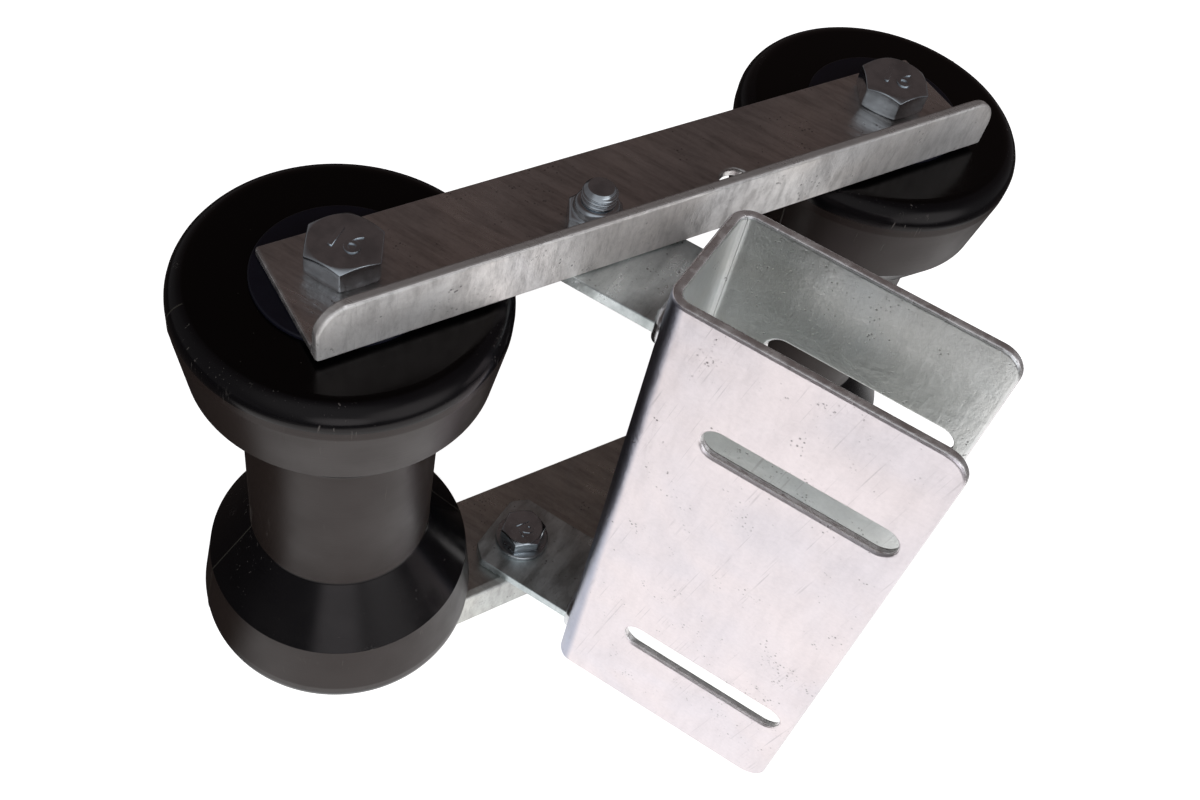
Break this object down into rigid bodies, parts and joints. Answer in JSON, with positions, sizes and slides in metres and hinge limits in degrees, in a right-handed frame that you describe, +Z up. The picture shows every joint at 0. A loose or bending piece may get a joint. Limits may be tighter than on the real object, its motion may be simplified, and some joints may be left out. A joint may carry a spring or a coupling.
{
  "type": "tilting keel roller",
  "caption": "Tilting keel roller: galvanised channel saddle with welded ears and a tipping rocker of angle arms that carries waisted black rollers on bolts.",
  "frame": {"origin": "middle of the saddle's seat, the inner face of its web that rests on the crossbeam", "axes": "+Z up, +Y along the roller axles towards the bolt heads, +X towards the short end of the rocker"},
  "size_m": [0.3097, 0.2563, 0.2539],
  "materials": {
    "galvanised_bracket": "hot-dip galvanised, satin, cloudy",
    "galvanised_arm": "hot-dip galvanised, satin, cloudy",
    "weld_bead": "galvanised weld, rippled",
    "zinc_fastener": "bright blue zinc plate",
    "tube_steel": "galvanised tube",
    "roller_rubber": "smooth black moulding, glossy rim and satin waist",
    "hub_plastic": "gloss",
    "nylon": "matte"
  },
  "bodies": {
    "saddle": {"saddle_bracket": "galvanised_bracket", "left_ear": "galvanised_bracket", "left_ear_weld": "weld_bead", "left_pivot_washer": "zinc_fastener", "left_pivot_bolt": "zinc_fastener", "left_pivot_nut": "zinc_fastener", "left_pivot_nut_ring": "nylon", "right_ear": "galvanised_bracket", "right_ear_weld": "weld_bead", "right_pivot_washer": "zinc_fastener", "right_pivot_bolt": "zinc_fastener", "right_pivot_nut": "zinc_fastener", "right_pivot_nut_ring": "nylon"},
    "rocker": {"left_side_arm": "galvanised_arm", "right_side_arm": "galvanised_arm", "front_spacer_tube": "tube_steel", "front_axle_bolt": "zinc_fastener", "front_axle_washer": "zinc_fastener", "front_axle_nut": "zinc_fastener", "front_axle_nut_ring": "nylon", "rear_spacer_tube": "tube_steel", "rear_axle_bolt": "zinc_fastener", "rear_axle_washer": "zinc_fastener", "rear_axle_nut": "zinc_fastener", "rear_axle_nut_ring": "nylon"},
    "front_wheel": {"front_roller": "roller_rubber", "front_left_hub_bush": "hub_plastic", "front_right_hub_bush": "hub_plastic"},
    "rear_wheel": {"rear_roller": "roller_rubber", "rear_left_hub_bush": "hub_plastic", "rear_right_hub_bush": "hub_plastic"}
  },
  "joints": [
    {"name": "rocker_tilt", "type": "hinge", "parent": "saddle", "child": "rocker", "pos_m": [0, 0, 0.0425], "axis": [0, 1, 0], "range_deg": [0, 57]},
    {"name": "front_roller_spin", "type": "hinge", "parent": "rocker", "child": "front_wheel", "pos_m": [0.06487, 0, 0.09593], "axis": [0, 1, 0], "continuous": true},
    {"name": "rear_roller_spin", "type": "hinge", "parent": "rocker", "child": "rear_wheel", "pos_m": [-0.13287, 0, -0.01143], "axis": [0, 1, 0], "continuous": true}
  ]
}
